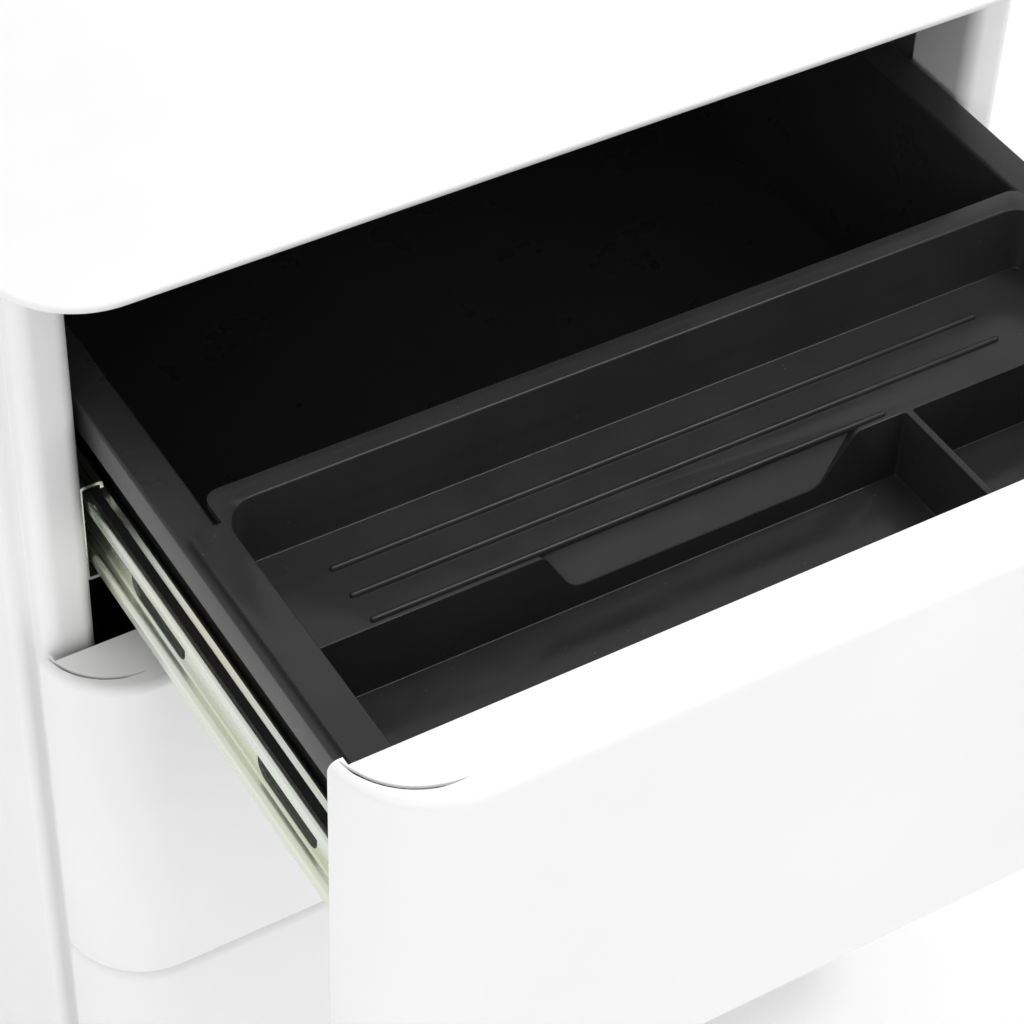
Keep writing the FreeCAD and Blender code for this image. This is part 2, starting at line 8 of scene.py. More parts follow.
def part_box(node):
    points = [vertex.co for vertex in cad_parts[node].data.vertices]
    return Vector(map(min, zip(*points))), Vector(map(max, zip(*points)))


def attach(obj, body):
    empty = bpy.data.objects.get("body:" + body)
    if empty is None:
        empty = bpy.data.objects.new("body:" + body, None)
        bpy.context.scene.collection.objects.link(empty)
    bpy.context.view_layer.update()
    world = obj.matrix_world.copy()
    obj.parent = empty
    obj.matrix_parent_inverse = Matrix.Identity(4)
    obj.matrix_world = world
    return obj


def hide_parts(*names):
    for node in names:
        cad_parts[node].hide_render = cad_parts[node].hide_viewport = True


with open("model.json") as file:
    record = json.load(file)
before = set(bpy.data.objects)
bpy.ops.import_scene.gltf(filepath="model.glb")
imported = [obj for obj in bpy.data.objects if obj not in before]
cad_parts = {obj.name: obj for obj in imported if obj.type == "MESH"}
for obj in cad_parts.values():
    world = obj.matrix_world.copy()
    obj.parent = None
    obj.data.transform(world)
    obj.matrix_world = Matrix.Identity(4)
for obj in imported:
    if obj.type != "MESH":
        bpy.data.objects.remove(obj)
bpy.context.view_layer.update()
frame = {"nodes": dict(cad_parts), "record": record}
mm = 0.001
scene = bpy.context.scene
print("stage: frame loaded")

# camera

cameraSet = {
    "lens": 107.3,           # on a 36 mm sensor
    "azimuth": 32.57,        # degrees, turned from straight ahead towards +X
    "elevation": 44.48,
    "roll": 2.53,
    "left": -424.9,          # mm from the unit's centre plane
    "ahead": 620.5,          # mm in front of the closed fronts
    "above": 573.3,          # mm over the lid
}

lidLow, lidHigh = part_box("top_panel")
closedFace = lidLow.y        # closed fronts stand flush with the lid's front edge


def makeCamera(opts):
    camData = bpy.data.cameras.new("camera")
    camData.lens = opts["lens"]
    camData.sensor_width = 36
    camera = bpy.data.objects.new("camera", camData)
    scene.collection.objects.link(camera)
    turn, tilt = math.radians(opts["azimuth"]), math.radians(opts["elevation"])
    ahead = Vector((math.sin(turn) * math.cos(tilt), math.cos(turn) * math.cos(tilt), -math.sin(tilt)))
    level = Vector((math.cos(turn), -math.sin(turn), 0))
    right = Matrix.Rotation(-math.radians(opts["roll"]), 3, ahead) @ level
    up = right.cross(ahead)
    place = Vector((opts["left"] * mm, closedFace - opts["ahead"] * mm, lidHigh.z + opts["above"] * mm))
    camera.matrix_world = Matrix.Translation(place) @ Matrix((right, up, -ahead)).transposed().to_4x4()
    camera.data.clip_start = 0.02
    scene.camera = camera


makeCamera(cameraSet)
print("stage: camera set")

# materials


def newMaterial(name, colour, rough, metal=0.0, gloss=0.5):
    mat = bpy.data.materials.new(name)
    mat.use_nodes = True
    shader = mat.node_tree.nodes["Principled BSDF"]
    shader.inputs["Base Color"].default_value = (*colour, 1)
    shader.inputs["Roughness"].default_value = rough
    shader.inputs["Metallic"].default_value = metal
    shader.inputs["Specular IOR Level"].default_value = gloss
    return mat, mat.node_tree, shader


def noiseNode(tree, scale, detail=3.0, stretch=(1, 1, 1)):
    coords = tree.nodes.new("ShaderNodeTexCoord")
    mapping = tree.nodes.new("ShaderNodeMapping")
    mapping.inputs["Scale"].default_value = stretch
    noise = tree.nodes.new("ShaderNodeTexNoise")
    noise.inputs["Scale"].default_value = scale
    noise.inputs["Detail"].default_value = detail
    tree.links.new(coords.outputs["Object"], mapping.inputs["Vector"])
    tree.links.new(mapping.outputs["Vector"], noise.inputs["Vector"])
    return noise.outputs["Fac"]


def rampNode(tree, factor, stops):
    ramp = tree.nodes.new("ShaderNodeValToRGB")
    ramp.color_ramp.elements[0].position = stops[0][0]
    ramp.color_ramp.elements[0].color = (*stops[0][1], 1)
    ramp.color_ramp.elements[1].position = stops[-1][0]
    ramp.color_ramp.elements[1].color = (*stops[-1][1], 1)
    for place, colour in stops[1:-1]:
        ramp.color_ramp.elements.new(place).color = (*colour, 1)
    tree.links.new(factor, ramp.inputs["Fac"])
    return ramp.outputs["Color"]


def rangeNode(tree, factor, low, high, start=0.3, end=0.7):
    spread = tree.nodes.new("ShaderNodeMapRange")
    spread.inputs["From Min"].default_value = start
    spread.inputs["From Max"].default_value = end
    spread.inputs["To Min"].default_value = low
    spread.inputs["To Max"].default_value = high
    tree.links.new(factor, spread.inputs["Value"])
    return spread.outputs["Result"]


def bumpNode(tree, shader, height, strength, distance):
    bump = tree.nodes.new("ShaderNodeBump")
    bump.inputs["Strength"].default_value = strength
    bump.inputs["Distance"].default_value = distance
    tree.links.new(height, bump.inputs["Height"])
    tree.links.new(bump.outputs["Normal"], shader.inputs["Normal"])


def greys(low, high):
    return [(0.3, (low,) * 3), (0.7, (high,) * 3)]


def powderCoat(name, low, high, rough, grain, gloss=0.5):
    # sprayed paint: faint shade drift and an orange-peel skin
    mat, tree, shader = newMaterial(name, (high,) * 3, rough, 0.0, gloss)
    tree.links.new(rampNode(tree, noiseNode(tree, 9), greys(low, high)), shader.inputs["Base Color"])
    tree.links.new(rangeNode(tree, noiseNode(tree, 40), rough - 0.04, rough + 0.04), shader.inputs["Roughness"])
    bumpNode(tree, shader, noiseNode(tree, grain["scale"], 2), grain["strength"], grain["depth"] * mm)
    return mat


def platedSteel(name, tints, rough):
    # bright plating: long drawn streaks with soft yellow, green and blue patches
    mat, tree, shader = newMaterial(name, tints[0], rough, 1.0)
    patches = noiseNode(tree, 26, 2, (1, 0.35, 1))
    stops = [(0.34, tints[0]), (0.5, tints[1]), (0.66, tints[2])]
    tree.links.new(rampNode(tree, patches, stops), shader.inputs["Base Color"])
    streaks = noiseNode(tree, 900, 3, (1, 0.02, 1))
    tree.links.new(rangeNode(tree, streaks, rough - 0.07, rough + 0.09), shader.inputs["Roughness"])
    bumpNode(tree, shader, streaks, 0.12, 0.02 * mm)
    return mat


def mouldedPlastic(name, low, high, rough, dust, gloss=0.5):
    # satin moulding with a fine grain and the odd speck of dust
    mat, tree, shader = newMaterial(name, (high,) * 3, rough, 0.0, gloss)
    coords = tree.nodes.new("ShaderNodeTexCoord")
    cells = tree.nodes.new("ShaderNodeTexVoronoi")
    cells.inputs["Scale"].default_value = dust["scale"]
    tree.links.new(coords.outputs["Object"], cells.inputs["Vector"])
    specks = rangeNode(tree, cells.outputs["Distance"], dust["amount"], 0, 0.02, 0.05)
    mix = tree.nodes.new("ShaderNodeMix")
    mix.data_type = "RGBA"
    mix.inputs[7].default_value = (0.35, 0.35, 0.34, 1)
    tree.links.new(specks, mix.inputs[0])
    tree.links.new(rampNode(tree, noiseNode(tree, 30), greys(low, high)), mix.inputs[6])
    tree.links.new(mix.outputs[2], shader.inputs["Base Color"])
    tree.links.new(rangeNode(tree, noiseNode(tree, 60), rough - 0.05, rough + 0.05), shader.inputs["Roughness"])
    bumpNode(tree, shader, noiseNode(tree, 2600, 2), 0.10, 0.03 * mm)
    return mat


def polishedMetal(name, colour, rough):
    mat, tree, shader = newMaterial(name, colour, rough, 1.0)
    marks = noiseNode(tree, 700, 4)
    tree.links.new(rangeNode(tree, marks, rough - 0.04, rough + 0.08), shader.inputs["Roughness"])
    bumpNode(tree, shader, marks, 0.05, 0.01 * mm)
    return mat


def floorPaint(name, colour, glow):
    mat, tree, shader = newMaterial(name, colour, 0.7)
    shader.inputs["Emission Color"].default_value = (1, 1, 1, 1)
    shader.inputs["Emission Strength"].default_value = glow
    bumpNode(tree, shader, noiseNode(tree, 12), 0.02, 0.5 * mm)
    return mat


whitePaint = powderCoat("whitePaint", 0.90, 0.94, 0.38, {"scale": 1500, "strength": 0.04, "depth": 0.02})
blackPaint = powderCoat("blackPaint", 0.028, 0.034, 0.30, {"scale": 1800, "strength": 0.10, "depth": 0.03}, 0.26)
zinc = platedSteel("zinc", [(0.80, 0.83, 0.70), (0.77, 0.81, 0.75), (0.83, 0.82, 0.66)], 0.30)
blackPlastic = mouldedPlastic("blackPlastic", 0.026, 0.032, 0.17, {"scale": 150, "amount": 0.2}, 0.28)
# near-black plastic for the sheet behind the slots: painted shade for the inside of the slide
slotShadePlastic = mouldedPlastic("slotShadePlastic", 0.008, 0.012, 0.45, {"scale": 150, "amount": 0}, 0.15)
# much lighter than blackPlastic: painted light for the scoop face, which is also rougher
scoopLitPlastic = mouldedPlastic("scoopLitPlastic", 0.12, 0.14, 0.50, {"scale": 150, "amount": 0.2}, 0.32)
castorPlastic = mouldedPlastic("castorPlastic", 0.018, 0.026, 0.28, {"scale": 90, "amount": 0.10})
brightMetal = polishedMetal("brightMetal", (0.78, 0.78, 0.79), 0.18)
ballSteel = polishedMetal("ballSteel", (0.70, 0.70, 0.70), 0.12)

slotMaterials = {
    "white_paint": whitePaint,
    "black_paint": blackPaint,
    "zinc": zinc,
    "black_plastic": blackPlastic,
    "bright_metal": brightMetal,
    "castor_plastic": castorPlastic,
    "ball_steel": ballSteel,
}
for part in frame["record"]["subparts"]:
    node = frame["nodes"][part["node"]]
    node.data.materials.clear()
    node.data.materials.append(slotMaterials[part["material_slot"]])
print("stage: materials made")

# mesh helpers, all lengths in mm until a piece is finished


def finishPiece(name, verts, faces, material, body, nodes, smoothAngle=32):
    piece = rawPiece(name, verts, faces)
    dressPiece(piece, material, body, nodes, smoothAngle)
    return piece


def dressPiece(piece, material, body, nodes, smoothAngle=32):
    piece.data.materials.clear()
    piece.data.materials.append(material)
    for face in piece.data.polygons:
        face.use_smooth = True
        face.material_index = 0
    piece.data.set_sharp_from_angle(angle=math.radians(smoothAngle))
    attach(piece, body)
    if nodes:
        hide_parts(*nodes)


def applyModifiers(piece):
    scene.view_layers[0].update()
    graph = bpy.context.evaluated_depsgraph_get()
    mesh = bpy.data.meshes.new_from_object(piece.evaluated_get(graph))
    piece.modifiers.clear()
    old = piece.data
    piece.data = mesh
    bpy.data.meshes.remove(old)


def rawPiece(name, verts, faces):
    mesh = bpy.data.meshes.new(name)
    mesh.from_pydata([tuple(c * mm for c in v) for v in verts], [], faces)
    bm = bmesh.new()
    bm.from_mesh(mesh)
    bmesh.ops.remove_doubles(bm, verts=bm.verts, dist=1e-6)
    bmesh.ops.recalc_face_normals(bm, faces=bm.faces)
    bm.to_mesh(mesh)
    bm.free()
    piece = bpy.data.objects.new(name, mesh)
    scene.collection.objects.link(piece)
    return piece


def cutAway(piece, cutters):
    for cutter in cutters:
        knife = piece.modifiers.new("cut", "BOOLEAN")
        knife.operation = "DIFFERENCE"
        knife.solver = "EXACT"
        knife.object = cutter
    applyModifiers(piece)
    for cutter in cutters:
        bpy.data.objects.remove(cutter)


def softenEdges(piece, width, segments=2, angle=30):
    bevel = piece.modifiers.new("soften", "BEVEL")
    bevel.width = width * mm
    bevel.segments = segments
    bevel.limit_method = "ANGLE"
    bevel.angle_limit = math.radians(angle)
    bevel.use_clamp_overlap = True
    bevel.miter_outer = "MITER_ARC"
    applyModifiers(piece)


def bentLine(points, radii, steps=6):
    # replaces each inner corner of a 2-D line with an arc of that corner's radius
    line = [Vector(points[0])]
    for before, corner, after, radius in zip(points, points[1:], points[2:], radii):
        before, corner, after = Vector(before), Vector(corner), Vector(after)
        inward, outward = (before - corner).normalized(), (after - corner).normalized()
        half = inward.angle(outward) / 2
        if radius <= 0 or half > math.pi / 2 - 0.01:
            line.append(corner)
            continue
        reach = radius / math.tan(half)
        centre = corner + (inward + outward).normalized() * (radius / math.sin(half))
        first = corner + inward * reach - centre
        last = corner + outward * reach - centre
        sweep = first.angle_signed(last)
        for step in range(steps + 1):
            turned = first.copy()
            turned.rotate(Matrix.Rotation(-sweep * step / steps, 2))
            line.append(centre + turned)
    line.append(Vector(points[-1]))
    return line


def sideOffset(line, distance):
    # moves a 2-D line sideways, to its left for a positive distance
    moved = []
    for index, point in enumerate(line):
        ahead = (line[min(index + 1, len(line) - 1)] - point)
        behind = (point - line[max(index - 1, 0)])
        ahead = ahead.normalized() if ahead.length > 1e-9 else behind.normalized()
        behind = behind.normalized() if behind.length > 1e-9 else ahead
        along = (ahead + behind).normalized()
        normal = Vector((-along.y, along.x))
        spread = max(0.3, normal.dot(Vector((-ahead.y, ahead.x))))
        moved.append(point + normal * (distance / spread))
    return moved


def foldedSheet(points, radii, thick, stations, place, steps=6):
    # a sheet bent along a 2-D line and swept through stations; place turns (u, v, w) into a point
    line = bentLine(points, radii, steps)
    ring = sideOffset(line, thick / 2) + list(reversed(sideOffset(line, -thick / 2)))
    count, half = len(ring), len(line)
    verts = [place(p.x, p.y, w) for w in stations for p in ring]
    faces = []
    for level in range(len(stations) - 1):
        base = level * count
        for i in range(count):
            j = (i + 1) % count
            faces.append((base + i, base + j, base + count + j, base + count + i))
    for base in (0, (len(stations) - 1) * count):
        for i in range(half - 1):
            faces.append((base + i, base + i + 1, base + count - 2 - i, base + count - 1 - i))
    return verts, faces


def alongY(u, v, w):
    return (u, w, v)


def alongZ(u, v, w):
    return (u, v, w)


def flipX(verts):
    return [(-x, y, z) for x, y, z in verts]


def joinParts(parts):
    verts, faces = [], []
    for someVerts, someFaces in parts:
        start = len(verts)
        verts += someVerts
        faces += [tuple(i + start for i in face) for face in someFaces]
    return verts, faces


def loftRings(rings):
    # closed solid through rings of equal length
    count = len(rings[0])
    verts = [p for ring in rings for p in ring]
    faces = [tuple(range(count)), tuple(range(len(verts) - count, len(verts)))]
    for level in range(len(rings) - 1):
        base = level * count
        for i in range(count):
            j = (i + 1) % count
            faces.append((base + i, base + j, base + count + j, base + count + i))
    return verts, faces


def roundedPlan(x0, x1, y0, y1, radii, steps=10):
    # closed plan outline; radii for front-left, front-right, back-right, back-left
    corners = [((x0, y0), 180, radii[0]), ((x1, y0), 270, radii[1]),
               ((x1, y1), 0, radii[2]), ((x0, y1), 90, radii[3])]
    outline = []
    for (x, y), start, radius in corners:
        radius = max(radius, 0.01)
        cx = x + radius if x == x0 else x - radius
        cy = y + radius if y == y0 else y - radius
        for step in range(steps + 1):
            angle = math.radians(start + 90 * step / steps)
            outline.append((cx + radius * math.cos(angle), cy + radius * math.sin(angle)))
    return outline


def between(plan, low, high, place):
    # solid between two levels of a closed outline; place turns (u, v, w) into a point
    return loftRings([[place(u, v, level) for u, v in plan] for level in (low, high)])


def lyingX(u, v, w):
    return (w, u, v)


def inMm(corner):
    return Vector((corner.x / mm, corner.y / mm, corner.z / mm))


lidBottom, lidTop = inMm(lidLow), inMm(lidHigh)
closedY = lidBottom.y
backY = lidTop.y
sideX = lidTop.x
frontLow = {}
frontHigh = {}
for drawer in (1, 2, 3):
    low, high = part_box(f"drawer_{drawer}_front")
    frontLow[drawer], frontHigh[drawer] = inMm(low), inMm(high)

# lid

lidSet = {
    "corner": 32,            # front corner radius
    "edgeRound": 1.2,
    "hemWide": 12,
    "hemDeep": 2.0,
    "pocketFront": 60,       # the hollow under the lid starts behind the posts
}


def makeLid(opts):
    soft = opts["edgeRound"]
    levels = []
    for step in range(5):
        angle = math.radians(90 * step / 4)
        levels.append((soft * (1 - math.sin(angle)), soft * (1 - math.cos(angle))))
    profile = [(inset, lidBottom.z + rise) for inset, rise in levels]
    profile += [(inset, lidTop.z - rise) for inset, rise in reversed(levels)]
    rings = []
    for inset, z in profile:
        radius = opts["corner"] - inset
        plan = roundedPlan(-sideX + inset, sideX - inset, closedY + inset, backY, (radius, radius, 0.4, 0.4), 24)
        rings.append([(x, y, z) for x, y in plan])
    lid = rawPiece("lid", *loftRings(rings))
    pocket = roundedPlan(-sideX + opts["hemWide"], sideX - opts["hemWide"],
                         closedY + opts["pocketFront"], backY - opts["hemWide"], (3, 3, 3, 3), 4)
    cutAway(lid, [rawPiece("pocket", *between(pocket, lidBottom.z - 5, lidBottom.z + opts["hemDeep"], alongZ))])
    dressPiece(lid, whitePaint, "carcass", ["top_panel"])


makeLid(lidSet)

# carcass sides

sideSet = {
    "sheet": 1.0,
    "stepBack": 39.5,        # step between the outer side and the bead, behind the closed face
    "stepWide": 7.5,
    "stepRound": 4.0,
    "creaseRound": 1.2,
    "beadFront": 29.2,
    "beadInner": 169.3,
    "beadRoundOut": 5.6,
    "beadRoundIn": 4.7,
    "postBack": 60,
    "rearReturn": 30,
}


def makeSides(opts):
    low, high = (inMm(c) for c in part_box("side_panel_left"))
    half = opts["sheet"] / 2
    outer, inner = -sideX + half, -opts["beadInner"] - half
    beadLeft = -sideX + opts["stepWide"] + half
    rear = backY - opts["sheet"] - half
    points = [
        (inner, rear - opts["rearReturn"] + half), (inner, rear), (outer, rear),
        (outer, closedY + opts["stepBack"] + half), (beadLeft, closedY + opts["stepBack"] + half),
        (beadLeft, closedY + opts["beadFront"] + half), (inner, closedY + opts["beadFront"] + half),
        (inner, closedY + opts["postBack"] - half), (outer + 2, closedY + opts["postBack"] - half),
    ]
    radii = [1.5, 1.5, opts["stepRound"], opts["creaseRound"], opts["beadRoundOut"], opts["beadRoundIn"], 1.5]
    verts, faces = foldedSheet(points, radii, opts["sheet"], (low.z, high.z), alongZ, 12)
    finishPiece("sideSkinLeft", verts, faces, whitePaint, "carcass", ["side_panel_left"])
    finishPiece("sideSkinRight", flipX(verts), faces, whitePaint, "carcass", ["side_panel_right"])


makeSides(sideSet)
print("stage: lid and sides made")

# drawer fronts

frontSet = {
    "half": 191.3,
    "corner": 31,
    "roll": 3.2,             # radius of the top and bottom edges
    "sideDepth": 28.4,
    "flangeDepth": 25.5,
    "flangeHalf": 186.7,
    "sheet": 1.0,
    "slitX": 163.2,          # centre of the curved slit
    "slitY": 32.7,
    "slitRadius": 25.4,
    "slitWide": 1.15,
    "slitFrom": 12,          # degrees round from the side
    "slitTo": 92,
    "lockHole": 8.6,
}


def frontOutline(opts, inset):
    # plan line of the front from one rear edge round to the other
    radius = opts["corner"] - inset
    reach = opts["sideDepth"] - opts["corner"]
    start = math.degrees(math.asin(-reach / radius)) if abs(reach) < radius else 0
    points = []
    for side in (-1, 1):
        cx = side * (opts["half"] - opts["corner"])
        arc = []
        for step in range(25):
            angle = math.radians(start + (90 - start) * step / 24)
            arc.append((cx + side * radius * math.cos(angle), opts["corner"] - radius * math.sin(angle)))
        points += arc if side < 0 else list(reversed(arc))
    return points


def makeFront(opts, drawer):
    faceY = frontLow[drawer].y
    low, high = frontLow[drawer].z, frontHigh[drawer].z
    levels = []
    for step in range(8):
        angle = math.radians(90 * step / 7)
        levels.append((opts["roll"] * (1 - math.sin(angle)), opts["roll"] * (1 - math.cos(angle))))
    profile = [(inset, low + rise) for inset, rise in levels]
    profile += [(inset, high - rise) for inset, rise in reversed(levels)]
    rings = [[(x, faceY + y, z) for x, y in frontOutline(opts, inset)] for inset, z in profile]
    count = len(rings[0])
    verts = [p for ring in rings for p in ring]
    faces = []
    for level in range(len(rings) - 1):
        for i in range(count - 1):
            base = level * count + i
            faces.append((base, base + 1, base + count + 1, base + count))
    for level, z in ((0, low), (len(rings) - 1, high)):
        start = len(verts)
        side = opts["flangeHalf"]
        verts += [(side, faceY + opts["sideDepth"], z), (side, faceY + opts["flangeDepth"], z),
                  (-side, faceY + opts["flangeDepth"], z), (-side, faceY + opts["sideDepth"], z)]
        faces.append(tuple(range(level * count, level * count + count)) + (start, start + 1, start + 2, start + 3))
    front = rawPiece(f"front{drawer}", verts, faces)
    shell = front.modifiers.new("sheet", "SOLIDIFY")
    shell.thickness = opts["sheet"] * mm
    shell.offset = -1
    shell.use_even_offset = True
    applyModifiers(front)
    cutters = [slitCutter(opts, faceY, high, side) for side in (-1, 1)]
    if drawer == 1:
        cutters.append(lockHole(opts, faceY))
    cutAway(front, cutters)
    dressPiece(front, whitePaint, f"drawer_{drawer}", [f"drawer_{drawer}_front"])


def slitCutter(opts, faceY, top, side):
    # tapered sliver that opens the curved slit in a top flange
    ring = []
    steps = 40
    for edge in (1, -1):
        marks = range(steps + 1) if edge > 0 else reversed(range(steps + 1))
        for step in marks:
            share = step / steps
            angle = math.radians(opts["slitFrom"] + (opts["slitTo"] - opts["slitFrom"]) * share)
            wide = opts["slitWide"] / 2 * min(1, 0.25 + 5 * share, 0.12 + 4 * (1 - share))
            radius = opts["slitRadius"] + edge * wide
            ring.append((side * (opts["slitX"] + radius * math.cos(angle)),
                         faceY + opts["slitY"] - radius * math.sin(angle)))
    return rawPiece("slit", *between(ring, top - 2.5, top + 2, alongZ))


def lockHole(opts, faceY):
    low, high = (inMm(c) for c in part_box("lock_barrel"))
    cx, cz = (low.x + high.x) / 2, (low.z + high.z) / 2
    turns = [2 * math.pi * i / 48 for i in range(48)]
    ring = [(cx + opts["lockHole"] * math.cos(a), cz + opts["lockHole"] * math.sin(a)) for a in turns]
    return rawPiece("lockHole", *between(ring, faceY - 3, faceY + 4, alongY))


for drawer in (1, 2, 3):
    makeFront(frontSet, drawer)
print("stage: fronts made")

# drawer sides

drawerSideSet = {
    "sheet": 0.8,
    "ledgeRound": 0.9,
    "footRound": 1.0,
    "innerX": 153.8,
    "footWide": 14,
    "lipDeep": 12.7,
}


def makeDrawerSides(opts, drawer):
    low, high = (inMm(c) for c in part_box(f"drawer_{drawer}_side_left"))
    half = opts["sheet"] / 2
    wall = -opts["innerX"] - half
    points = [(low.x + half, high.z - opts["lipDeep"]), (low.x + half, high.z - half), (wall, high.z - half),
              (wall, low.z + half), (-opts["innerX"] + opts["footWide"], low.z + half)]
    radii = [opts["ledgeRound"], opts["ledgeRound"], opts["footRound"]]
    verts, faces = foldedSheet(points, radii, opts["sheet"], (low.y, high.y), alongY, 5)
    body = f"drawer_{drawer}"
    finishPiece(f"boxSideLeft{drawer}", verts, faces, blackPaint, body,
                [f"drawer_{drawer}_side_left"])
    finishPiece(f"boxSideRight{drawer}", flipX(verts), faces, blackPaint, body,
                [f"drawer_{drawer}_side_right"])


for drawer in (1, 2, 3):
    makeDrawerSides(drawerSideSet, drawer)
print("stage: drawer sides made")

# telescopic slides

slideSet = {
    "gauge": 1.2,
    "bend": 1.5,
    "rollTall": 7.0,
    "webInset": 3.9,
    "rimBend": 0.8,
    "raceFrom": 2.1,         # ball race pressed in the lip, in from the outer face
    "raceTo": 5.6,
    "raceDeep": 1.2,
    "stripTop": 0.5,         # dark strip in the race, under the lip's top: painted shade in the groove, not wear
    "stripThick": 0.6,
    "slotLong": 38,
    "slotTall": 14,
    "slotRound": 5.0,
    "slotPitch": 87,
    "slotFirst": 51.5,
    "slots": 4,
    "rimDrop": 3.0,
    "backing": 8.2,          # half height of the dark sheet behind the slots, painted shade for the inside of the slide
    "backingThick": 0.3,
    "backingInset": 40,
}


def slideEnds(kind, drawer):
    low, high = (inMm(c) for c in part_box(f"drawer_{drawer}_slide_{kind}_left"))
    return low, high, (low.z + high.z) / 2


def placeSlide(kind, drawer, verts, faces, body):
    names = {"outer": "fixedRail", "middle": "middleRail", "inner": "runner"}
    for side, points in (("left", verts), ("right", flipX(verts))):
        finishPiece(f"{names[kind]}{side.capitalize()}{drawer}", points, faces, zinc, body,
                    [f"drawer_{drawer}_slide_{kind}_{side}"], 40)


def makeFixedRail(opts, drawer):
    low, high, _ = slideEnds("outer", drawer)
    half = opts["gauge"] / 2
    left, right = low.x + half, high.x - half
    points = [(right, high.z - opts["rimDrop"]), (right, high.z - half), (left, high.z - half),
              (left, low.z + half), (right, low.z + half), (right, low.z + opts["rimDrop"])]
    radii = [0.8, opts["bend"], opts["bend"], 0.8]
    verts, faces = foldedSheet(points, radii, opts["gauge"], (low.y, high.y), alongY, 5)
    placeSlide("outer", drawer, verts, faces, "carcass")


def makeRunner(opts, drawer):
    low, high, _ = slideEnds("inner", drawer)
    half = opts["gauge"] / 2
    right = high.x - half
    points = [(low.x, high.z - half), (right, high.z - half), (right, low.z + half), (low.x, low.z + half)]
    verts, faces = foldedSheet(points, [1.2, 1.2], opts["gauge"], (low.y, high.y), alongY, 5)
    placeSlide("inner", drawer, verts, faces, f"drawer_{drawer}")


def middleLine(opts, low, high):
    # section from the upper lip round the rolls and the joggled web to the lower lip
    half = opts["gauge"] / 2
    face, lip = low.x + half, high.x
    web = low.x + opts["webInset"] + half
    top, rollFoot = high.z - half, high.z - opts["rollTall"] + half
    upper = [
        (lip, top), (low.x + opts["raceTo"], top - opts["raceDeep"]),
        (low.x + opts["raceFrom"] + 0.6, top - opts["raceDeep"]), (low.x + opts["raceFrom"], top),
        (face, top), (face, rollFoot), (web, rollFoot),
    ]
    radii = [0, 0.3, 0.3, 0.3, opts["rimBend"], opts["bend"], opts["bend"]]
    centre = (low.z + high.z) / 2
    lower = [(x, 2 * centre - z) for x, z in reversed(upper)]
    return upper + lower, radii[1:] + list(reversed(radii))[:-1]


def makeMiddleRail(opts, drawer):
    low, high, centre = slideEnds("middle", drawer)
    points, radii = middleLine(opts, low, high)
    verts, faces = foldedSheet(points, radii, opts["gauge"], (low.y, high.y), alongY, 6)
    rail = rawPiece("rail", verts, faces)
    web = low.x + opts["webInset"]
    cutters = []
    for index in range(opts["slots"]):
        start = low.y + opts["slotFirst"] + index * opts["slotPitch"]
        plan = roundedPlan(start, start + opts["slotLong"], centre - opts["slotTall"] / 2,
                           centre + opts["slotTall"] / 2, (opts["slotRound"],) * 4, 8)
        cutters.append(rawPiece("slot", *between(plan, web - 2, web + 3, lyingX)))
    cutAway(rail, cutters)
    railVerts = [tuple(c / mm for c in v.co) for v in rail.data.vertices]
    railFaces = [tuple(f.vertices) for f in rail.data.polygons]
    bpy.data.objects.remove(rail)
    placeSlide("middle", drawer, railVerts, railFaces, f"drawer_{drawer}_middle")
    makeShadeStrips(opts, drawer, low, high, centre)


def makeShadeStrips(opts, drawer, low, high, centre):
    # painted shade on the middle rail: a dark strip in each race and a dark sheet behind the slots
    parts = []
    # each race gets a dark strip standing in for the shadow in its groove
    for side in (1, -1):
        edge = high.z - opts["stripTop"] if side > 0 else low.z + opts["stripTop"]
        spans = sorted((edge, edge - side * opts["stripThick"]))
        plan = roundedPlan(low.x + opts["raceFrom"] + 0.1, low.x + opts["raceTo"], spans[0], spans[1],
                           (0.12,) * 4, 3)
        parts.append(between(plan, low.y + 0.5, high.y - 0.5, alongY))
    # dark sheet behind the slots: painted shade standing in for the dark inside of the slide
    back = low.x + opts["webInset"] + opts["gauge"] + 0.02
    plan = roundedPlan(back, back + opts["backingThick"], centre - opts["backing"],
                       centre + opts["backing"], (0.1,) * 4, 3)
    backing = between(plan, low.y + opts["backingInset"], high.y - opts["backingInset"], alongY)
    for name, solids, material in (("raceShadeStrips", parts, blackPlastic), ("slotShadeSheet", [backing], slotShadePlastic)):
        verts, faces = joinParts(solids)
        for side, points in (("Left", verts), ("Right", flipX(verts))):
            finishPiece(f"{name}{side}{drawer}", points, faces, material,
                        f"drawer_{drawer}_middle", [])


for drawer in (1, 2, 3):
    makeFixedRail(slideSet, drawer)
    makeMiddleRail(slideSet, drawer)
    makeRunner(slideSet, drawer)
print("stage: slides made")

# pen tray, measured back from the open front's face and down from its top

traySet = {
    "wingHalf": 164.4,
    "wingEnd": 165.5,
    "rimHalf": 153.1,
    "rimEnd": 179.2,
    "rimCorner": 5,
    "rimTop": 51.6,
    "rimThick": 2.7,
    "front": 35.8,
    "wall": 2.0,
    "basinHalf": 151.6,      # at the rim
    "basinFront": 38.8,
    "basinBack": 171,
    "basinCorner": 14,
    "floorCorner": 2.5,
    "draft": 2.6,            # a wall leans in by this much down to the shelf
    "shelf": 76.3,
    "penWall": 127,
    "well": 103,
    "wellDraft": 0.8,
    "wellCorner": 1,
    "floorRound": 0.4,
    "rimRound": 0.7,
    "dividerX": 73.7,
    "dividerWide": 2.6,
    "scoopLeft": (-64, -53),
    "scoopRight": (40, 54),
    "scoopLow": 94.5,
    "scoopLean": 3.4,
    "scoopRound": 7,
    "scoopShoulder": 5,
    "ribWide": 2.2,
    "ribHigh": 1.3,
    "ribs": ((-123.5, 120.5, 154.0), (-123.5, 120.5, 141.3), (-123.0, 66.0, 129.6)),
}


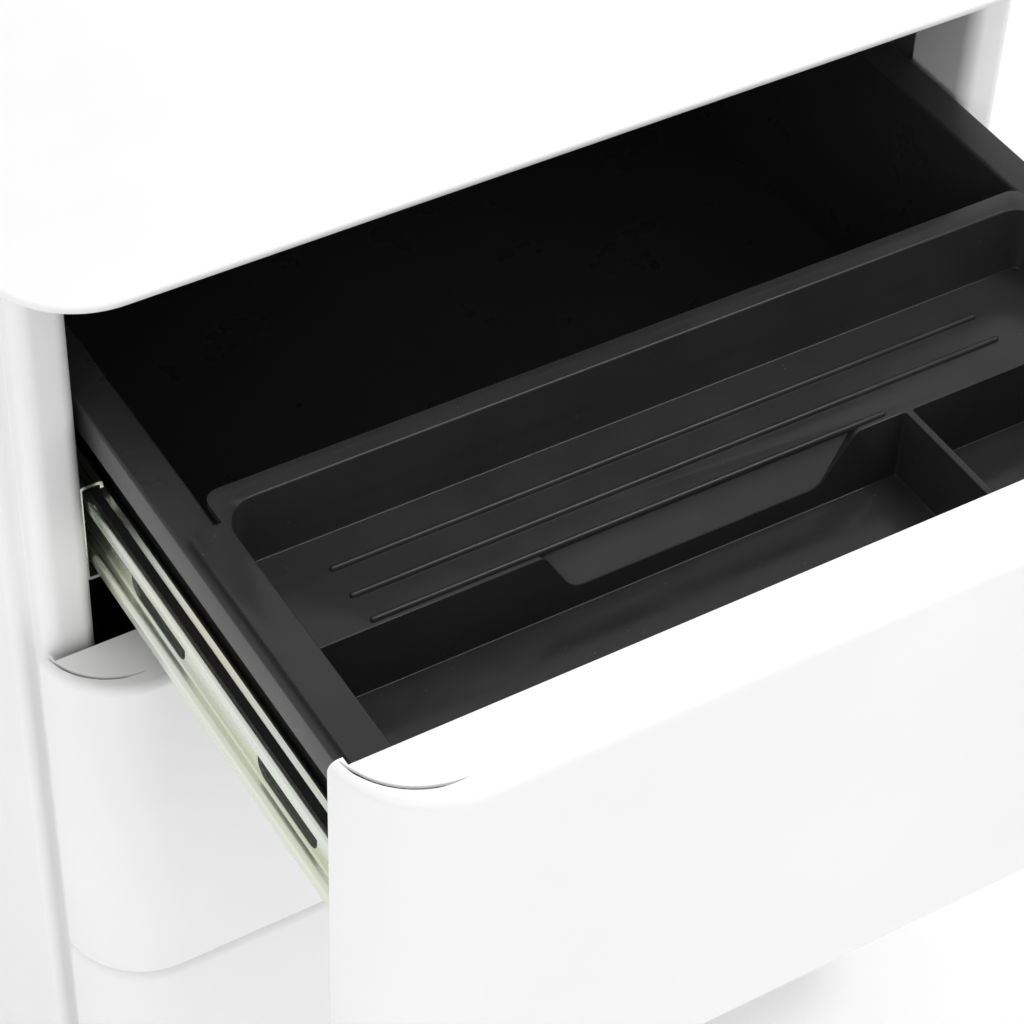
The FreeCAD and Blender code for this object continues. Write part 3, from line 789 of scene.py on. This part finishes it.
def pocketCutter(x0, x1, y0, y1, top, bottom, corners, draft, soft, flare, floorCorner):
    # hollow with a rounded lip, leaning walls and a rounded floor edge; top and bottom are heights
    profile = [(-flare, top + 8), (-flare, top + 0.01)]
    for step in range(1, 6):
        angle = math.radians(90 * step / 5)
        profile.append((-flare * (1 - math.sin(angle)), top - flare * (1 - math.cos(angle))))
    for step in range(6):
        angle = math.radians(90 * step / 5)
        profile.append((draft + soft * (1 - math.cos(angle)), bottom + soft * (1 - math.sin(angle))))
    rings = []
    for inset, z in profile:
        share = min(1, max(0, (inset + flare) / (draft + flare)))
        radii = [max(r + (min(floorCorner, r) - r) * share, 0.3) for r in corners]
        rings.append([(x, y, z) for x, y in roundedPlan(x0 + inset, x1 - inset, y0 + inset, y1 - inset, radii, 12)])
    return rawPiece("pocket", *loftRings(rings))


def joinSolids(first, others):
    for other in others:
        weld = first.modifiers.new("weld", "BOOLEAN")
        weld.operation = "UNION"
        weld.solver = "EXACT"
        weld.object = other
    applyModifiers(first)
    for other in others:
        bpy.data.objects.remove(other)


def ribBead(opts, x0, x1, along, level):
    # rounded bead with round ends, sunk a little in the shelf
    half = opts["ribWide"] / 2
    rings = []
    for step in range(6):
        angle = math.radians(90 * step / 5)
        inset, rise = half * (1 - math.cos(angle)) * 0.8, opts["ribHigh"] * math.sin(angle)
        radius = half - inset
        rings.append([(x, y, level + rise - 0.02) for x, y in roundedPlan(x0 + inset, x1 - inset, along - radius,
                                                                        along + radius, (radius,) * 4, 6)])
    base = [(x, y, level - 0.6) for x, y, z in rings[0]]
    return rawPiece("rib", *loftRings([base] + rings))


def scoopCutter(opts, y, z):
    # opening with rounded shoulders and feet; its face leans back towards the shelf
    left, right = opts["scoopLeft"], opts["scoopRight"]
    over, beside, rise = 0.3, 12, 9
    lowZ, topZ = z(opts["scoopLow"]), z(opts["shelf"]) + over
    points = [(left[0] - beside, topZ + rise), (left[0] - beside, topZ), (left[0], topZ), (left[1], lowZ),
              (right[0], lowZ), (right[1], topZ), (right[1] + beside, topZ), (right[1] + beside, topZ + rise)]
    shoulder, foot = opts["scoopShoulder"], opts["scoopRound"]
    line = bentLine(points, [0, shoulder, foot, foot, shoulder, 0], 8)
    rings = []
    for lean in (0, 1):
        ring = []
        for p in line:
            back = opts["scoopLean"] * (p.y - lowZ) / (topZ - lowZ)
            ring.append((p.x, y(opts["penWall"]) + (back if lean else -8), p.y))
        rings.append(ring)
    return rawPiece("scoop", *loftRings(rings))


def makeTray(opts):
    faceY, topZ = frontLow[1].y, frontHigh[1].z

    def y(distance):
        return faceY + distance

    def z(drop):
        return topZ - drop

    wings = roundedPlan(-opts["wingHalf"], opts["wingHalf"], y(opts["front"]), y(opts["wingEnd"]), (1, 1, 2, 2), 5)
    rim = roundedPlan(-opts["rimHalf"], opts["rimHalf"], y(opts["front"]), y(opts["rimEnd"]),
                      (1, 1, opts["rimCorner"], opts["rimCorner"]), 8)
    outer = opts["basinHalf"] - opts["draft"] + opts["wall"]
    shelfPlan = roundedPlan(-outer, outer, y(opts["front"]), y(opts["basinBack"]), (1, 1, 10, 10), 8)
    wellPlan = roundedPlan(-outer, outer, y(opts["front"]), y(opts["penWall"] + opts["wall"] + 1.8), (1, 1, 4, 4), 6)
    rimFoot, rimHead = z(opts["rimTop"] + opts["rimThick"]), z(opts["rimTop"])
    tray = rawPiece("penTray", *between(wings, rimFoot, rimHead, alongZ))
    joinSolids(tray, [
        rawPiece("rim", *between(rim, rimFoot, rimHead, alongZ)),
        rawPiece("shelf", *between(shelfPlan, z(opts["shelf"] + opts["wall"]), rimHead - 1, alongZ)),
        rawPiece("wells", *between(wellPlan, z(opts["well"] + opts["wall"]), rimHead - 1, alongZ)),
    ])
    half = opts["basinHalf"]
    corner = opts["basinCorner"]
    basin = pocketCutter(-half, half, y(opts["basinFront"] - opts["draft"]), y(opts["basinBack"]), z(opts["rimTop"]),
                         z(opts["shelf"]), (2, 2, corner, corner), opts["draft"], opts["floorRound"],
                         opts["rimRound"], opts["floorCorner"])
    wellHalf = half - opts["draft"]
    split = (opts["dividerX"] - opts["dividerWide"] / 2, opts["dividerX"] + opts["dividerWide"] / 2)
    wells = []
    for x0, x1 in ((-wellHalf, split[0]), (split[1], wellHalf)):
        wells.append(pocketCutter(x0, x1, y(opts["basinFront"] + 1), y(opts["penWall"]), z(opts["shelf"]),
                                  z(opts["well"]), (opts["wellCorner"],) * 4, opts["wellDraft"],
                                  opts["floorRound"], 0.4, opts["wellCorner"]))
    cutAway(tray, [basin])
    cutAway(tray, wells)
    cutAway(tray, [scoopCutter(opts, y, z)])
    softenEdges(tray, 0.5, 3, 40)
    joinSolids(tray, [ribBead(opts, x0, x1, y(along), z(opts["shelf"])) for x0, x1, along in opts["ribs"]])
    dressPiece(tray, blackPlastic, "tray", ["pen_tray"], 35)
    lightenScoop(opts, tray, y(opts["penWall"]) * mm, z(opts["shelf"]) * mm)


def lightenScoop(opts, tray, wall, level):
    # the scoop's face gets a rougher copy of the plastic with a much lighter colour: the roughness is a duller finish,
    # the lighter colour is painted light for the light the scoop catches
    tray.data.materials.append(scoopLitPlastic)
    reach = opts["scoopLean"] + 0.1
    for face in tray.data.polygons:
        spot = face.center
        inside = opts["scoopLeft"][0] * mm < spot.x < opts["scoopRight"][1] * mm
        if inside and wall + 0.05 * mm < spot.y < wall + reach * mm and spot.z < level - 0.5 * mm:
            if face.normal.y < -0.5:
                face.material_index = 1


makeTray(traySet)
print("stage: pen tray made")

# castors

castorSet = {
    "wheelRound": 20,
    "treadSoft": 2.6,
    "wheelWide": 13,
    "gap": 4.9,
    "axle": 3,
    "faceDish": 2.2,
    "hubRound": 6.5,
}


def lathe(profile, centre, segments=64):
    # turns (radius, x) pairs round an axle that runs along X
    rings = []
    for radius, x in profile:
        ring = []
        for i in range(segments):
            a = 2 * math.pi * i / segments
            ring.append((centre.x + x, centre.y + radius * math.cos(a), centre.z + radius * math.sin(a)))
        rings.append(ring)
    return loftRings(rings)


def makeWheel(opts, corner):
    low, high = (inMm(c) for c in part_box(f"castor_wheel_{corner}"))
    centre = (low + high) / 2
    parts = []
    for side in (-1, 1):
        inside, outside = opts["gap"], opts["gap"] + opts["wheelWide"]
        profile = [(opts["axle"], inside), (opts["wheelRound"] - 1.0, inside)]
        for step in range(7):
            angle = math.radians(90 * step / 6)
            profile.append((opts["wheelRound"] - 1.0 + math.sin(angle), inside + 1.0 - math.cos(angle)))
        for step in range(7):
            angle = math.radians(90 * step / 6)
            soft = opts["treadSoft"]
            profile.append((opts["wheelRound"] - soft * (1 - math.cos(angle)), outside - soft * (1 - math.sin(angle))))
        profile += [(opts["wheelRound"] - 4.2, outside), (opts["wheelRound"] - 5.4, outside - opts["faceDish"]),
                    (opts["hubRound"] + 1.2, outside - opts["faceDish"]), (opts["hubRound"], outside - 0.8),
                    (opts["hubRound"] - 1.0, outside - 0.4), (0.4, outside - 0.2)]
        parts.append(lathe([(r, side * x) for r, x in profile], centre))
    parts.append(lathe([(opts["axle"], -opts["gap"] - 1), (opts["axle"], opts["gap"] + 1)], centre, 32))
    verts, faces = joinParts(parts)
    finishPiece(f"castorWheel_{corner}", verts, faces, castorPlastic, f"wheel_{corner}",
                [f"castor_wheel_{corner}"], 30)


for corner in ("front_left", "front_right", "rear_left", "rear_right"):
    makeWheel(castorSet, corner)
print("stage: castors made")

# floor and light

stageSet = {
    "floorHalf": 6.0,
    "floorTone": (0.93, 0.93, 0.93),
    "skyTone": (1.0, 1.0, 1.0),
    "skyLevel": 0.79,
    "floorGlow": 0.10,
    "overhead": {"power": 13, "size": 0.7, "place": (0.8, -0.2, 2.4)},
    "fromFront": {"power": 3, "size": 1.8, "place": (0.9, -2.2, 1.3)},
    "fromLeft": {"power": 8, "size": 1.6, "place": (-1.9, -1.9, 1.7)},
}


def areaLight(name, opts, target):
    light = bpy.data.lights.new(name, "AREA")
    light.energy = opts["power"]
    light.size = opts["size"]
    lamp = bpy.data.objects.new(name, light)
    scene.collection.objects.link(lamp)
    lamp.location = opts["place"]
    lamp.rotation_euler = (target - Vector(opts["place"])).to_track_quat("-Z", "Y").to_euler()


def makeStage(opts):
    half = opts["floorHalf"]
    mesh = bpy.data.meshes.new("floor")
    mesh.from_pydata([(-half, -half, 0), (half, -half, 0), (half, half, 0), (-half, half, 0)], [], [(0, 1, 2, 3)])
    mesh.materials.append(floorPaint("floorPaint", opts["floorTone"], opts["floorGlow"]))
    floor = bpy.data.objects.new("floor", mesh)
    scene.collection.objects.link(floor)
    world = bpy.data.worlds.new("sky")
    world.use_nodes = True
    world.node_tree.nodes["Background"].inputs["Color"].default_value = (*opts["skyTone"], 1)
    world.node_tree.nodes["Background"].inputs["Strength"].default_value = opts["skyLevel"]
    scene.world = world
    aim = Vector((0, -0.1, 0.45))
    areaLight("overhead", opts["overhead"], aim)
    areaLight("fromFront", opts["fromFront"], aim)
    areaLight("fromLeft", opts["fromLeft"], aim)
    scene.view_settings.view_transform = "Standard"


makeStage(stageSet)
print("stage: floor and lights made")
